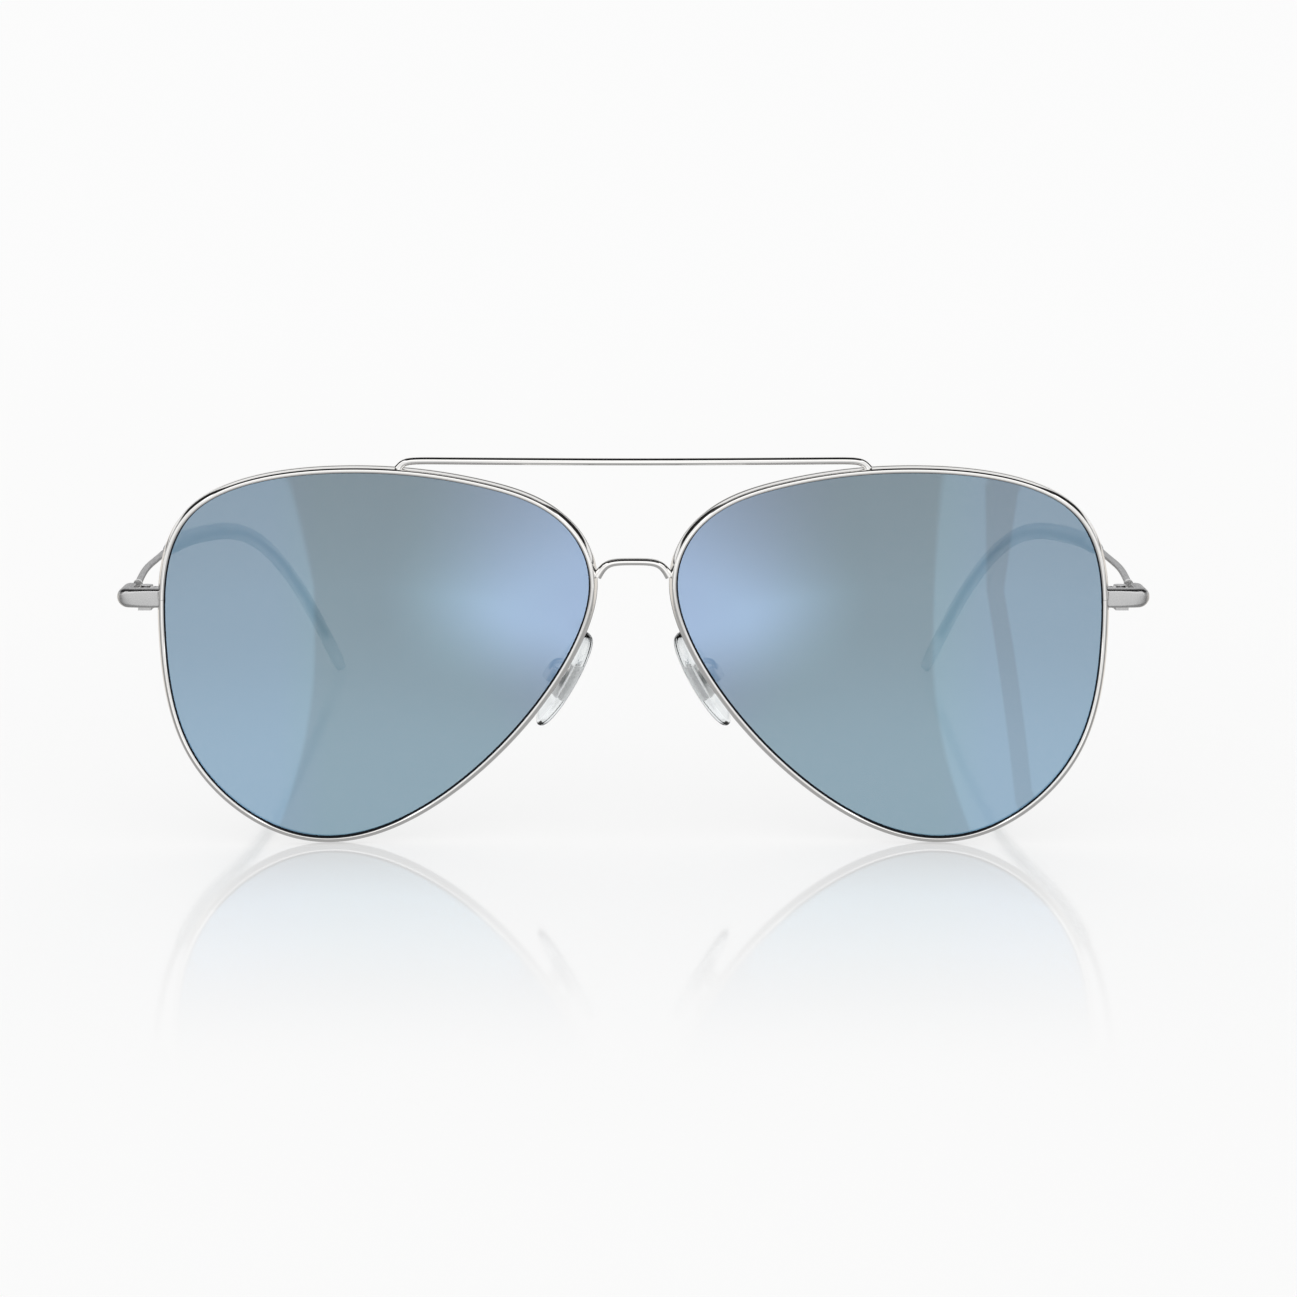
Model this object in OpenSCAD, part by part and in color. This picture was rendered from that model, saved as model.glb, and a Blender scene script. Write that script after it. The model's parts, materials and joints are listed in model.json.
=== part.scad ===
// Aviator sunglasses with a double bridge. Thin wire rims hold lenses that curve
// inwards, the nose pads rock on their screws, and the wire temples fold on
// three-knuckle hinges.
// Millimetres. +X is the wearer's left, +Y points back along the temples, +Z is up.
// The glasses stand open on a flat surface at z = 0, on the rims and temple tips.

/* [Lenses] */
// Radius of the spherical lens surface
lens_radius = 100; // [90:5:130]
// Depth of the middle of the lens behind the front plane
lens_recess = 4.2; // [3.5:0.1:5]
// Thickness of the lens
lens_t = 1.4; // [1.2:0.1:1.5]
// Thickness of the bevelled edge that sits in the rim
bevel_t = 0.8; // [0.6:0.1:0.8]

/* [Rims] */
// Width of the rim wire, seen from the front
rim_w = 0.6; // [0.55:0.05:0.8]
// Depth of the rim wire, from front to back
rim_d = 1.9; // [1.7:0.1:2.1]
// Width of the cut between the two ends of the rim
rim_cut = 0.1; // [0.06:0.02:0.2]

/* [Bars] */
// Diameter of the brow bar
brow_bar_d = 1; // [0.8:0.1:1.2]
// Height of the nose bridge at its middle
bridge_h = 1; // [0.8:0.1:1.2]

/* [End pieces] */
// Height of an end piece
end_h = 2.6; // [2.4:0.1:2.8]

/* [Hinges] */
// Outer radius of the knuckles
knuckle_r = 1.1; // [1:0.05:1.15]
// Radius of the hinge screw
hinge_screw_r = 0.5; // [0.4:0.05:0.55]
// Radial clearance of the moving knuckle and of the pad on their screws
running_gap = 0.05; // [0.03:0.01:0.08]

/* [Temples] */
// Diameter of the temple wire
wire_d = 1; // [0.9:0.1:1.2]
// Thickness of the sleeve on the temple tip
sleeve_t = 2.2; // [2:0.1:2.4]
// Height of the sleeve on the temple tip
sleeve_h = 2.8; // [2.6:0.1:3]

/* [Nose pads] */
// Length of a nose pad
pad_length = 14.2; // [13.6:0.2:15]
// Width of a nose pad
pad_width = 7; // [6:0.2:8]
// Thickness of a nose pad
pad_t = 1.4; // [1.4:0.1:1.8]
// Lean of the pads towards each other, seen from the front
pad_lean = 29; // [26:1:31]
// Splay of the pads' rear edges, seen from above
pad_splay = 20; // [16:1:24]

/* [Hidden] */
$fn = 32;

// Distance of the front plane in front of the origin
front_y = -62.75;
polished = [0.86, 0.86, 0.87];
satin = [0.66, 0.66, 0.67];
lens_blue = [0.45, 0.58, 0.68, 0.7];
sleeve_blue = [0.62, 0.74, 0.82, 0.8];
clear = [0.88, 0.92, 0.95, 0.4];

// Lens edge as seen from the front: control points [x, z] of a closed curve,
// clockwise from the nose side
lens_edge = [
    [3, 36], [8.9, 47.5], [20.5, 51.1], [37.8, 53.5], [64.2, 50.8],
    [65.8, 29.9], [63.6, 11.8], [48.9, -0.6], [32.5, 1.25], [14.8, 15.7]
];
// Centre of the lens as seen from the front
lens_x = 36;
lens_z = 27.5;
lens_centre = [lens_x, lens_recess - lens_radius, lens_z];
lens_steps = 8;
rim_steps = 10;
// The lens blank is cut this far outside the lens edge, and its full thickness starts inside it
bevel_reach = 0.17;
bevel_inset = 0.25;
// Place on the lens edge where the rim is cut, behind the end piece
cut_at = 4.764;
groove_depth = 0.35;
groove_t = bevel_t + 0.1;
rim_chamfer = 0.1;
rim_round = 0.2;

// Left half of the brow bar, from its foot on the rim to the middle
bar_path = [[32.4, 0.8, 52.9], [31.6, 0.7, 54.1], [28, 0.5, 54.1], [14, -0.4, 54.1], [0, -0.9, 54.1]];
// Left half of the nose bridge, from the rim to the middle
bridge_path = [[5, -1, 38.2], [4.3, -1, 39.4], [3.1, -1, 40.3], [0, -1, 40.3]];
// Radius of the bridge at the rims, and how much wider it is hammered at the middle
bridge_r = 0.62;
bridge_spread = 0.1;
bar_steps = 4;

end_inner_x = 65.8;
end_outer_x = 71.7;
end_front_y = -0.5;
end_back_y = 5.6;
end_leg_y = 1.5;
end_leg_x = 69.6;
end_corner_r = 1.9;
end_round_r = 1.1;
end_tail_r = 0.5;
end_chamfer = 0.3;
end_notch = 0.6;
// Height of the middle of an end piece above the ground
end_z = 35;
end_bottom = end_z - end_h / 2;
end_top = end_z + end_h / 2;

hinge_x = 68.3;
hinge_y = 5.8;
hinge_bottom = 32.7;
hinge_top = 35.6;
knuckle_gap = 0.1;
middle_bottom = 33.6;
middle_top = 34.7;
leaf_w = 1.8;
leaf_root_y = 3.4;
leaf_front_y = 4.4;
ferrule_r = 0.65;
ferrule_length = 1.7;
// Screw heads: radius, height and width of the slot
hinge_screw_head = [0.9, 0.35, 0.25];

block_x = 66.4;
block_y = 2.45;
block_r = 0.85;
block_foot_x = 65.3;
block_foot_y = 0.4;
block_foot_w = 0.68;
closing_screw_r = 0.45;
closing_screw_head = [0.75, 0.3, 0.2];

// Centre line of the temple wire, from the hinge to the tip
temple_path = [
    [70.1, 9.5, 35.5], [73, 33, 34], [74, 52, 32.5], [74, 70, 32.5],
    [72.5, 88, 31], [67, 107, 29.5], [60, 120, 17.5], [53.5, 126.8, 0.5]
];
temple_steps = 6;
// Places on that line where the sleeve starts, and where the wire and its hole end
sleeve_from = 2.45;
wire_to = 6.6;
bore_to = 6.65;
bore_gap = 0.04;

pad_centre = [9.9, 9, 21.8];
pad_steps = 5;
// The core is a plate in the pad with a tab that turns in the box on the pad screw
core_plate = [3.4, 5.2, 0.3];
core_depth = 0.1;
core_clearance = 0.02;
tab_reach = 0.9;
tab_t = 1.2;
tab_w = 1.4;
box_gap = 0.3;
box_w = 2;
box_depth = 1.8;
box_floor = 0.4;
cheek_t = 0.4;
cheek_gap = 0.1;
pad_screw_r = 0.35;
pad_screw_head = [0.65, 0.3, 0.2];
// Outline of a pad as control points of a closed curve, in halves of its width and length
pad_outline = [
    [0, 1.08], [0.85, 1.02], [1.18, 0.2], [0.95, -0.75], [0, -1.22],
    [-0.95, -0.75], [-1.18, 0.2], [-0.85, 1.02]
];
// Centre line of a pad arm, from the back of the rim to the top of the pad's box
pad_arm_path = [
    [9.35, 1.15, 24.8], [9.2, 2.8, 24.9], [9.3, 5, 25], [10.2, 7, 25],
    [11.3, 7.9, 24.6], [11.75, 8.1, 23.45]
];
pad_arm_d = 0.8;

// ---- curves and lofts ----

function blend(a, b, c, d, u) =
    (pow(1 - u, 3) * a + (3 * pow(u, 3) - 6 * u * u + 4) * b
        + (3 * u + 3 * u * u - 3 * pow(u, 3) + 1) * c + pow(u, 3) * d) / 6;

function closed_point(p, t) =
    let (n = len(p), i = floor(t), u = t - i)
    blend(p[(i + n - 1) % n], p[i % n], p[(i + 1) % n], p[(i + 2) % n], u);

// An open curve starts and ends on its first and last control points
function open_point(p, t) =
    let (
        last = len(p) - 1,
        q = concat([2 * p[0] - p[1]], p, [2 * p[last] - p[last - 1]]),
        i = min(floor(t), last - 1),
        u = t - i
    )
    blend(q[i], q[i + 1], q[i + 2], q[i + 3], u);

function unit(v) = v / norm(v);
function heading(p, t) = unit(open_point(p, min(t + 0.01, len(p) - 1)) - open_point(p, max(t - 0.01, 0)));
function both_halves(p) = concat(p, [for (i = [len(p) - 2:-1:0]) [-p[i][0], p[i][1], p[i][2]]]);

// Oval ring of points round a centre, square to the direction it faces
function ring(centre, facing, across, half_w, half_h, sides) =
    let (a = unit(across - (across * facing) * facing), b = cross(a, facing))
    [for (i = [0:sides - 1]) let (w = 360 * i / sides) centre + half_w * cos(w) * a + half_h * sin(w) * b];

// Solid through a row of rings that have the same number of points
module loft(rings) {
    sides = len(rings[0]);
    last = len(rings) - 1;
    walls = [
        for (i = [0:last - 1], j = [0:sides - 1])
            let (a = i * sides + j, b = i * sides + (j + 1) % sides)
            each [[a, b, a + sides], [b, b + sides, a + sides]]
    ];
    polyhedron(
        [for (r = rings) each r],
        concat([[for (j = [sides - 1:-1:0]) j]], walls, [[for (j = [0:sides - 1]) last * sides + j]])
    );
}

// Round wire along an open curve
module wire(path, d, steps, from, to, across, sides = 12) {
    count = ceil((to - from) * steps);
    loft([
        for (i = [0:count])
            let (t = from + (to - from) * i / count)
            ring(open_point(path, t), heading(path, t), across, d / 2, d / 2, sides)
    ]);
}

// ---- places ----

module on_left() {
    translate([0, front_y, 0]) children();
}

module on_right() {
    translate([0, front_y, 0]) mirror([1, 0, 0]) children();
}

// Pad frame: x to the rear edge, y up along the pad, z away from the nose
module at_pad() {
    translate(pad_centre) rotate([0, -pad_lean, 0]) rotate([0, 0, -pad_splay]) rotate([90, 0, 90]) children();
}

module at_hinge(z) {
    translate([hinge_x, hinge_y, z]) children();
}

// ---- rims and lenses ----

// Point on the lens sphere behind a point [x, z] of the front view
function on_lens(p) =
    [p[0], lens_centre[1] + sqrt(pow(lens_radius, 2) - pow(p[0] - lens_x, 2) - pow(p[1] - lens_z, 2)), p[1]];

// Section of the rim wire: [outwards, backwards] from the lens edge
rim_section = let (h = rim_d / 2, g = groove_t / 2, c = rim_chamfer, r = rim_round) [
    [0, -g], [0, c - h], [c, -h], [rim_w - r, -h], [rim_w, r - h], [rim_w, h - r],
    [rim_w - r, h], [c, h], [0, h - c], [0, g], [groove_depth, g], [groove_depth, -g]
];

function rim_ring(t) =
    let (
        p = on_lens(closed_point(lens_edge, t)),
        back = unit(p - lens_centre),
        along = unit(on_lens(closed_point(lens_edge, t + 0.01)) - on_lens(closed_point(lens_edge, t - 0.01))),
        out = cross(along, back)
    )
    [for (s = rim_section) p + s[0] * out + s[1] * back];

// The rim is one wire, cut where the closing block draws it tight on the lens
module rim() {
    spans = len(lens_edge);
    pace = norm(closed_point(lens_edge, cut_at + 0.5) - closed_point(lens_edge, cut_at - 0.5));
    half_cut = rim_cut / 2 / pace;
    count = spans * rim_steps;
    color(polished) loft([
        for (i = [0:count]) rim_ring(cut_at + half_cut + (spans - 2 * half_cut) * i / count)
    ]);
}

module lens_shell(t) {
    difference() {
        sphere(r = lens_radius + t / 2, $fn = 360);
        sphere(r = lens_radius - t / 2, $fn = 360);
    }
}

module lens_blank(grow) {
    count = len(lens_edge) * lens_steps;
    outline = [
        for (i = [0:count - 1])
            let (
                t = i / lens_steps,
                along = unit(closed_point(lens_edge, t + 0.01) - closed_point(lens_edge, t + 10 - 0.01))
            )
            closed_point(lens_edge, t) + grow * [-along[1], along[0]]
    ];
    rotate([90, 0, 0]) linear_extrude(height = 20, center = true) polygon(outline);
}

module lens() {
    color(lens_blue) intersection() {
        lens_blank(bevel_reach);
        union() {
            translate(lens_centre) lens_shell(bevel_t);
            intersection() {
                translate(lens_centre) lens_shell(lens_t);
                lens_blank(-bevel_inset);
            }
        }
    }
}

// ---- bars between the rims ----

module brow_bar() {
    path = both_halves(bar_path);
    color(polished) wire(path, brow_bar_d, bar_steps, 0, len(path) - 1, [0, 1, 0]);
}

// The bridge is round at the rims and flattened towards the middle
module nose_bridge() {
    path = both_halves(bridge_path);
    spans = len(path) - 1;
    color(polished) loft([
        for (i = [0:spans * bar_steps])
            let (t = i / bar_steps, flat = sin(180 * t / spans))
            ring(open_point(path, t), heading(path, t), [0, 1, 0],
                bridge_r + bridge_spread * flat, bridge_r - (bridge_r - bridge_h / 2) * flat, 16)
    ]);
}

// ---- end pieces and closing blocks ----

function arc(c, r, from, to) =
    [for (i = [0:6]) let (w = from + (to - from) * i / 6) c + r * [cos(w), sin(w)]];

module end_piece() {
    color(satin) intersection() {
        // Seen from above: an L that bends back round the hinge
        translate([0, 0, end_bottom]) linear_extrude(height = end_h) polygon(concat(
            [[end_inner_x, end_front_y]],
            arc([end_outer_x - end_corner_r, end_front_y + end_corner_r], end_corner_r, -90, 0),
            arc([end_outer_x - end_tail_r, end_back_y - end_tail_r], end_tail_r, 0, 90),
            [[end_leg_x, end_back_y], [end_leg_x, end_leg_y + end_chamfer]],
            [[end_leg_x - end_chamfer, end_leg_y]],
            [[end_inner_x + end_chamfer, end_leg_y], [end_inner_x + end_chamfer, end_leg_y * 0.4]]
        ));
        // Seen from the front: a bar with a rounded outer end and a notch at the rim
        translate([0, 10, 0]) rotate([90, 0, 0]) linear_extrude(height = 20) polygon(concat(
            [[end_inner_x, end_bottom]],
            arc([end_outer_x - end_round_r, end_bottom + end_round_r], end_round_r, -90, 0),
            arc([end_outer_x - end_round_r, end_top - end_round_r], end_round_r, 0, 90),
            [[end_inner_x, end_top], [end_inner_x + end_notch, end_z]]
        ));
    }
}

// Half of the block that draws the rim's two ends together
module closing_half(bottom, top) {
    difference() {
        union() {
            translate([block_x, block_y, bottom]) cylinder(r = block_r, h = top - bottom);
            translate([block_foot_x, end_leg_y, bottom])
                cube([block_x - block_foot_x, block_y + block_r - end_leg_y, top - bottom]);
            // Foot that is soldered to the end of the rim
            translate([block_foot_x, block_foot_y, bottom])
                cube([block_foot_w, block_y - block_foot_y, top - bottom]);
        }
        translate([block_x, block_y, bottom - 1]) cylinder(r = closing_screw_r, h = end_h + 2);
    }
}

module closing_block_upper() {
    color(satin) closing_half(end_z + rim_cut / 2, end_top - 0.1);
}

module closing_block_lower() {
    color(satin) closing_half(end_bottom + 0.1, end_z - rim_cut / 2);
}

module slotted_screw(r, length, head) {
    difference() {
        union() {
            cylinder(r = r, h = length);
            translate([0, 0, length]) cylinder(r = head[0], h = head[1]);
        }
        translate([-head[0], -head[2] / 2, length + head[1] / 2]) cube([2 * head[0], head[2], head[1]]);
    }
}

module closing_screw() {
    color(polished) translate([block_x, block_y, end_top - 0.15]) mirror([0, 0, 1])
        slotted_screw(closing_screw_r, end_h - 0.25, closing_screw_head);
}

// ---- hinges ----

module hinge_front() {
    color(satin) difference() {
        union() {
            translate([hinge_x - leaf_w / 2, end_leg_y, end_bottom])
                cube([leaf_w, leaf_front_y - end_leg_y, hinge_top - end_bottom]);
            translate([hinge_x - leaf_w / 2, leaf_root_y, hinge_bottom])
                cube([leaf_w, leaf_front_y - leaf_root_y, hinge_top - hinge_bottom]);
            for (z = [[hinge_bottom, middle_bottom - knuckle_gap], [middle_top + knuckle_gap, hinge_top]]) {
                at_hinge(z[0]) cylinder(r = knuckle_r, h = z[1] - z[0]);
                translate([hinge_x - leaf_w / 2, leaf_front_y - 0.1, z[0]])
                    cube([leaf_w, hinge_y - leaf_front_y + 0.1, z[1] - z[0]]);
            }
        }
        at_hinge(hinge_bottom - 1) cylinder(r = hinge_screw_r, h = hinge_top - hinge_bottom + 2);
    }
}

module hinge_screw() {
    below = 0.3;
    color(polished) at_hinge(hinge_bottom - below)
        slotted_screw(hinge_screw_r, hinge_top - hinge_bottom + below, hinge_screw_head);
}

module hinge_temple() {
    start = temple_path[0];
    along = heading(temple_path, 0);
    color(satin) difference() {
        union() {
            at_hinge(middle_bottom) cylinder(r = knuckle_r, h = middle_top - middle_bottom);
            // Leaf from the knuckle, and the block that rises from it to the wire
            translate([hinge_x, hinge_y, middle_bottom]) cube([knuckle_r, 3, middle_top - middle_bottom]);
            translate([hinge_x + 0.9, hinge_y + 1.8, middle_bottom])
                cube([1.6, 1.5, start[2] - middle_bottom]);
            // Ferrule on the end of the wire
            translate(start) rotate([acos(-along[2]), 0, -atan2(along[0], along[1])])
                cylinder(r = ferrule_r, h = ferrule_length);
        }
        at_hinge(middle_bottom - 1)
            cylinder(r = hinge_screw_r + running_gap, h = middle_top - middle_bottom + 2);
    }
}

// ---- temples ----

module temple_wire() {
    color(polished) wire(temple_path, wire_d, temple_steps, 0, wire_to, [1, 0, 0]);
}

// How full the sleeve is: it tapers in over its first stretch and rounds off at its end
function sleeve_fullness(t) =
    let (from_start = t - sleeve_from, to_end = len(temple_path) - 1 - t)
    min(1, 0.62 + 0.38 * sin(min(90, 180 * from_start)), 0.8 + 2 * to_end);

function sleeve_ring(t) =
    ring(open_point(temple_path, t), heading(temple_path, t), [1, 0, 0],
        sleeve_t / 2 * sleeve_fullness(t), sleeve_h / 2 * sleeve_fullness(t), 14);

function bore_ring(t) =
    let (r = wire_d / 2 + bore_gap)
    ring(open_point(temple_path, t), heading(temple_path, t), [1, 0, 0], r, r, 14);

// The sleeve runs up the inside of its hole, over its mouth and down the outside to its end
module temple_tip() {
    end = len(temple_path) - 1;
    bore_count = ceil((bore_to - sleeve_from) * temple_steps);
    count = ceil((end - 0.1 - sleeve_from) * temple_steps);
    color(sleeve_blue) loft(concat(
        [for (i = [bore_count:-1:0]) bore_ring(sleeve_from + (bore_to - sleeve_from) * i / bore_count)],
        [for (i = [0:count]) sleeve_ring(sleeve_from + (end - 0.1 - sleeve_from) * i / count)],
        [sleeve_ring(end - 0.04), sleeve_ring(end)]
    ));
}

// ---- nose pads ----

module pad_arm() {
    color(polished) wire(pad_arm_path, pad_arm_d, bar_steps, 0, len(pad_arm_path) - 1, [0, 0, 1], 10);
}

// Cylinder along the line of the pad screw, in the pad frame
module along_screw(r, length) {
    translate([-length / 2, 0, pad_t / 2 + tab_reach]) rotate([0, 90, 0]) cylinder(r = r, h = length);
}

// Box with two cheeks that hold the pad screw, open towards the pad
module pad_box() {
    gap = tab_t + 2 * cheek_gap;
    near = pad_t / 2 + box_gap;
    color(polished) at_pad() difference() {
        translate([-gap / 2 - cheek_t, -box_w / 2, near]) cube([gap + 2 * cheek_t, box_w, box_depth]);
        translate([-gap / 2, -box_w, near - 1]) cube([gap, 2 * box_w, box_depth - box_floor + 1]);
        along_screw(pad_screw_r, 10);
    }
}

module pad_screw() {
    reach = tab_t + 2 * cheek_gap + 2 * cheek_t;
    color(polished) at_pad() translate([reach / 2, 0, pad_t / 2 + tab_reach]) rotate([0, -90, 0])
        slotted_screw(pad_screw_r, reach, pad_screw_head);
}

module core_shape(grow) {
    margin = [2 * grow, 2 * grow, 2 * grow];
    translate([-core_plate[0] / 2 - grow, -core_plate[1] / 2 - grow, -core_depth - grow])
        cube(core_plate + margin);
    translate([-tab_t / 2 - grow, -tab_w / 2 - grow, 0])
        cube([tab_t + 2 * grow, tab_w + 2 * grow, pad_t / 2 + tab_reach]);
}

// Metal core inside the pad, with the tab that turns on the pad screw
module pad_core() {
    color(polished) at_pad() difference() {
        union() {
            core_shape(0);
            along_screw(tab_w / 2, tab_t);
        }
        along_screw(pad_screw_r + running_gap, 10);
    }
}

module nose_pad() {
    count = len(pad_outline) * pad_steps;
    outline = [
        for (i = [0:count - 1])
            let (p = closed_point(pad_outline, i / pad_steps))
            [p[0] * pad_width / 2, p[1] * pad_length / 2]
    ];
    color(clear) at_pad() difference() {
        translate([0, 0, -pad_t / 2]) linear_extrude(height = pad_t) polygon(outline);
        core_shape(core_clearance);
    }
}

on_left() rim();  // rim_left
on_right() rim();  // rim_right
on_left() lens();  // lens_left
on_right() lens();  // lens_right
on_left() nose_bridge();
on_left() brow_bar();
on_left() end_piece();  // end_piece_left
on_right() end_piece();  // end_piece_right
on_left() closing_block_upper();  // closing_block_upper_left
on_right() closing_block_upper();  // closing_block_upper_right
on_left() closing_block_lower();  // closing_block_lower_left
on_right() closing_block_lower();  // closing_block_lower_right
on_left() closing_screw();  // closing_screw_left
on_right() closing_screw();  // closing_screw_right
on_left() hinge_front();  // hinge_front_left
on_right() hinge_front();  // hinge_front_right
on_left() hinge_screw();  // hinge_screw_left
on_right() hinge_screw();  // hinge_screw_right
on_left() hinge_temple();  // hinge_temple_left
on_right() hinge_temple();  // hinge_temple_right
on_left() temple_wire();  // temple_wire_left
on_right() temple_wire();  // temple_wire_right
on_left() temple_tip();  // temple_tip_left
on_right() temple_tip();  // temple_tip_right
on_left() pad_arm();  // pad_arm_left
on_right() pad_arm();  // pad_arm_right
on_left() pad_box();  // pad_box_left
on_right() pad_box();  // pad_box_right
on_left() pad_screw();  // pad_screw_left
on_right() pad_screw();  // pad_screw_right
on_left() pad_core();  // pad_core_left
on_right() pad_core();  // pad_core_right
on_left() nose_pad();  // nose_pad_left
on_right() nose_pad();  // nose_pad_right
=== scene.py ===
"""Aviator sunglasses: finished meshes, materials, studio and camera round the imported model.

Outlines are in millimetres in the front's own frame: x to the wearer's left, y back from the
front plane, z up. They become metres in the shared frame when a mesh is made.
"""
import json
import math

import bmesh
import bpy
import numpy as np
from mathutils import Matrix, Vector


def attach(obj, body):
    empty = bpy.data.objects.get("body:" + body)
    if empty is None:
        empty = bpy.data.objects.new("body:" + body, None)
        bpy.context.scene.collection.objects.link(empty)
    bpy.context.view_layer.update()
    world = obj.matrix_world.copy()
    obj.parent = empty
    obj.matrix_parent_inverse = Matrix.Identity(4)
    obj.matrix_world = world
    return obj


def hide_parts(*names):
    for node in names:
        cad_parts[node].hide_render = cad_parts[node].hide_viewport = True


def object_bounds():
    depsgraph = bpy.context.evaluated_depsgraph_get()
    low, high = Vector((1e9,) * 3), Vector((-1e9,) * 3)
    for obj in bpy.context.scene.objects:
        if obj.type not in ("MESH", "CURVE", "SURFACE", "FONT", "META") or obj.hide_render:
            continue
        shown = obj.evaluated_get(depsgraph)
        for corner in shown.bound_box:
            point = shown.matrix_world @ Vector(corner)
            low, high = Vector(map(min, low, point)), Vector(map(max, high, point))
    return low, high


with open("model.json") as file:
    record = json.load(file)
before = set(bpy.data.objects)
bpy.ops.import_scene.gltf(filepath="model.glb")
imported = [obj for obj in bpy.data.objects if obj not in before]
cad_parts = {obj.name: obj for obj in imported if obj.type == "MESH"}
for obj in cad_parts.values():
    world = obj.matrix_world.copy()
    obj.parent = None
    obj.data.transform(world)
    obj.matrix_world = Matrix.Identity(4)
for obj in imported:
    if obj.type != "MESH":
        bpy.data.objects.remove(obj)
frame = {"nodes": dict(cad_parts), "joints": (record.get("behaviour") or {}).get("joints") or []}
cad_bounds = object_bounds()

MM = 0.001
STUDIO_WHITE = 0.97
SIDES = {"left": 1.0, "right": -1.0}

# ---- driving dimensions, as in the CAD source ----

LENS_RADIUS = 100.0
LENS_RECESS = 4.2
LENS_T = 1.4
BEVEL_T = 0.8
LENS_X = 36.0
LENS_Z = 27.5
LENS_CENTRE = np.array([LENS_X, LENS_RECESS - LENS_RADIUS, LENS_Z])
LENS_EDGE = np.array([
    [3, 36], [8.9, 47.5], [20.5, 51.1], [37.8, 53.5], [64.2, 50.8],
    [65.8, 29.9], [63.6, 11.8], [48.9, -0.6], [32.5, 1.25], [14.8, 15.7],
])
RIM_W = 0.6
RIM_D = 1.9
RIM_CUT_AT = 4.764
RIM_CUT = 0.03
GROOVE_DEPTH = 0.35
GROOVE_T = BEVEL_T + 0.1
RIM_CROWN = 0.05

BAR_D = 1.0
BAR_PATH = [
    [32.4, 0.8, 52.9], [31.6, 0.7, 54.1], [28, 0.5, 54.1], [14, -0.4, 54.1], [0, -0.9, 54.1],
]
# Share by which the bar is thicker at its feet
BAR_FOOT = 0.18
BRIDGE_PATH = [[5, -1, 38.2], [4.3, -1, 39.4], [3.1, -1, 40.3], [0, -1, 40.3]]
BRIDGE_R = 0.62
BRIDGE_SPREAD = 0.1
BRIDGE_H = 1.0

END_X = (65.55, 71.7)
END_Y = (-0.5, 5.6)
END_Z = 35.0
END_H = 2.6
END_T = 2.0
END_NOTCH = 0.6

HINGE_Y = 5.8

TEMPLE_PATH = [
    [70.1, 9.5, 35.5], [73, 33, 34], [74, 52, 32.5], [74, 70, 32.5],
    [72.5, 88, 31], [67, 107, 29.5], [60, 120, 17.5], [53.5, 126.8, 0.5],
]
WIRE_D = 1.0
SLEEVE_T = 2.2
SLEEVE_H = 2.8
SLEEVE_FROM = 2.45
# Places on the path: the end of the wire, and of its hole in the sleeve
WIRE_TO = 6.6
BORE_TO = 6.65
BORE_GAP = 0.04

PAD_CENTRE = np.array([9.9, 9.0, 21.8])
PAD_LENGTH = 14.2
PAD_WIDTH = 7.0
PAD_T = 1.4
PAD_LEAN = 29.0
PAD_SPLAY = 20.0
# In halves of the pad's width and length
PAD_OUTLINE = np.array([
    [0, 1.08], [0.85, 1.02], [1.18, 0.2], [0.95, -0.75], [0, -1.22],
    [-0.95, -0.75], [-1.18, 0.2], [-0.85, 1.02],
])
PAD_ARM_D = 0.8
PAD_ARM_PATH = [
    [9.35, 1.15, 24.8], [9.2, 2.8, 24.9], [9.3, 5, 25], [10.2, 7, 25],
    [11.3, 7.9, 24.6], [11.75, 8.1, 23.45],
]

# The hinge joint fixes where the front plane is in the shared frame
FOLD = next(j for j in frame["joints"] if j["name"] == "temple_fold_left")
FRONT_Y = FOLD["pos_m"][1] / MM - HINGE_Y

# ---- curves ----


def blend(a, b, c, d, u):
    """One span of a uniform cubic B-spline."""
    return (
        (1 - u) ** 3 * a
        + (3 * u**3 - 6 * u**2 + 4) * b
        + (1 + 3 * u + 3 * u**2 - 3 * u**3) * c
        + u**3 * d
    ) / 6


def closed_point(points, t):
    """Point of a closed curve, with the span number and the place on it in t."""
    n = len(points)
    i = math.floor(t)
    return blend(*(points[(i + k) % n] for k in (-1, 0, 1, 2)), t - i)


def open_point(points, t):
    """Point of an open curve that starts and ends on its first and last control points."""
    q = [2 * points[0] - points[1], *points, 2 * points[-1] - points[-2]]
    i = min(math.floor(t), len(points) - 2)
    return blend(*q[i : i + 4], t - i)


def unit(v):
    return v / np.linalg.norm(v)


def heading(points, t):
    ahead = open_point(points, min(t + 0.01, len(points) - 1))
    return unit(ahead - open_point(points, max(t - 0.01, 0)))


def both_halves(half):
    points = np.array(half, float)
    return np.vstack([points, points[-2::-1] * [-1, 1, 1]])


def ring(centre, facing, across, half_w, half_h, sides=32):
    """Oval of points round a centre, square to the direction it faces."""
    a = unit(across - (across @ facing) * facing)
    b = np.cross(a, facing)
    w = np.linspace(0, 2 * math.pi, sides, endpoint=False)[:, None]
    return centre + half_w * np.cos(w) * a + half_h * np.sin(w) * b


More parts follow.
